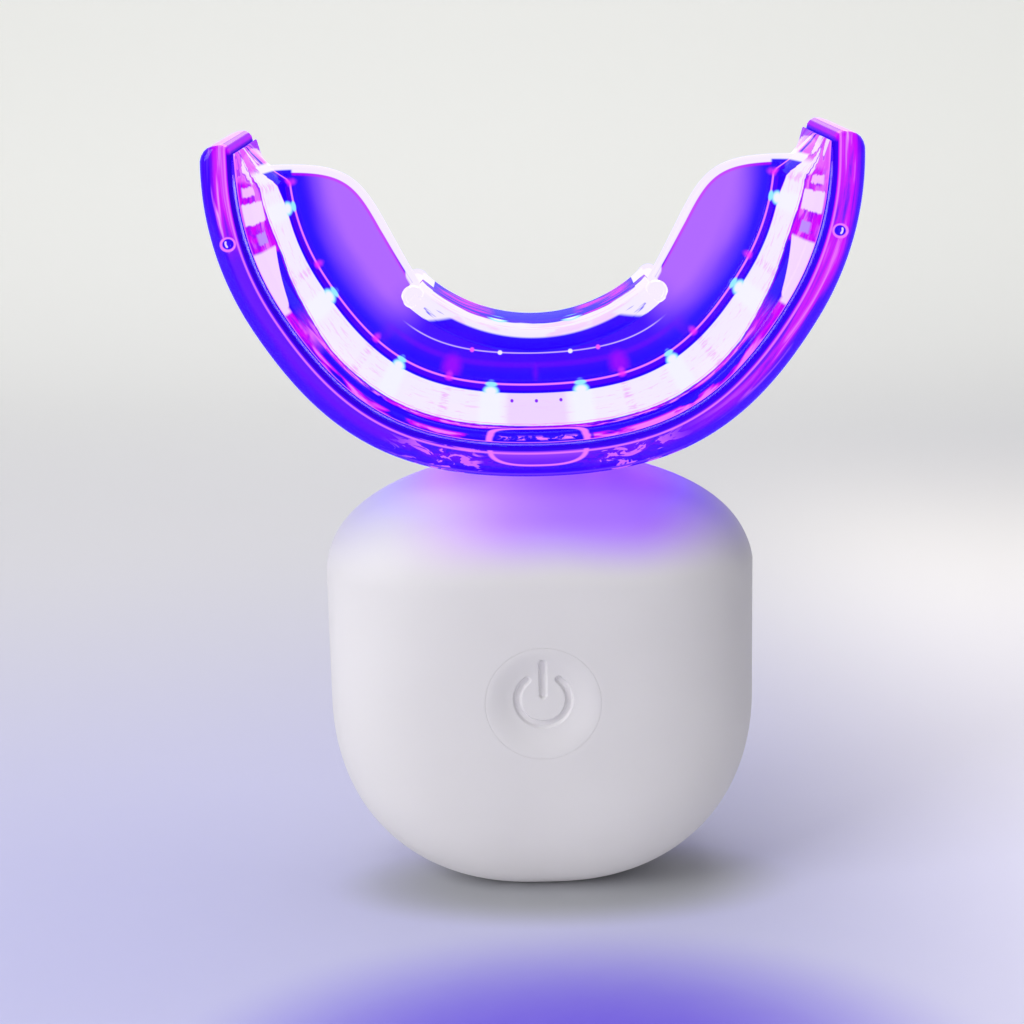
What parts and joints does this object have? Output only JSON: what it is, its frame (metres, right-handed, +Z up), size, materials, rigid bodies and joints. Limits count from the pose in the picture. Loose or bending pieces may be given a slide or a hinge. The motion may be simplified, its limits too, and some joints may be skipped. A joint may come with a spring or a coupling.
{
  "type": "light therapy oral care device",
  "caption": "Clear U-shaped mouthpiece with rows of small lights round the dental arch, on a rounded white power housing with one dished push button.",
  "frame": {"origin": "on the surface the device stands on, under the middle of the housing", "axes": "+Z up from the foot to the mouthpiece's open arms, +X along the width of the arch, -Y towards the user on the button's side"},
  "size_m": [0.0632, 0.024, 0.0777],
  "materials": {
    "housing_white": "fine satin moulded surface",
    "seal_grey": "matte",
    "soft_silicone": "soft matte",
    "clear_resin": "clear and glossy, lit violet and blue from inside",
    "strip_white": "white solder mask",
    "blue_light": "lit",
    "red_light": "lit",
    "chip_black": "moulded epoxy",
    "capacitor_tan": "ceramic",
    "switch_grey": "moulded",
    "plunger_white": "moulded",
    "board_green": "solder mask",
    "led_cream": "moulded",
    "screw_steel": "plain",
    "connector_cream": "moulded",
    "cell_foil": "laminated foil",
    "foam_black": "foam",
    "lead_red": "insulation",
    "lead_black": "insulation",
    "port_metal": "plated"
  },
  "bodies": {
    "housing": {"front_shell": "housing_white", "rear_shell": "housing_white", "seam_gasket": "seal_grey", "neck_seal": "soft_silicone", "outer_band": "clear_resin", "bite_tray": "clear_resin", "led_flex_strip": "strip_white", "blue_leds_front": "blue_light", "blue_leds_rear": "blue_light", "red_leds_front": "red_light", "red_leds_rear": "red_light", "strip_resistor_front_1": "chip_black", "strip_resistor_front_2": "chip_black", "strip_resistor_front_3": "chip_black", "strip_resistor_rear_1": "chip_black", "strip_resistor_rear_2": "chip_black", "strip_resistor_rear_3": "chip_black", "switch_body": "switch_grey", "control_board": "board_green", "controller_chip": "chip_black", "driver_chip": "chip_black", "capacitor_1": "capacitor_tan", "capacitor_2": "capacitor_tan", "capacitor_3": "capacitor_tan", "capacitor_4": "capacitor_tan", "crystal": "port_metal", "boost_coil": "chip_black", "charger_chip": "chip_black", "status_led": "led_cream", "board_screw_1": "screw_steel", "board_screw_2": "screw_steel", "board_screw_3": "screw_steel", "board_screw_4": "screw_steel", "tail_connector": "connector_cream", "battery_cell": "cell_foil", "battery_pad": "foam_black", "battery_lead_red": "lead_red", "battery_lead_black": "lead_black", "charge_port": "port_metal", "port_contacts": "chip_black"},
    "button": {"power_button": "housing_white", "switch_plunger": "plunger_white"},
    "cover": {"port_cover": "soft_silicone"}
  },
  "joints": [
    {"name": "button_press", "type": "slide", "parent": "housing", "child": "button", "axis": [0, 1, 0], "range_m": [0, 0.0004], "stiffness_N_per_m": 2500, "springref_m": -0.0001},
    {"name": "cover_pull", "type": "slide", "parent": "housing", "child": "cover", "axis": [0, 1, 0], "range_m": [0, 0.006]}
  ]
}
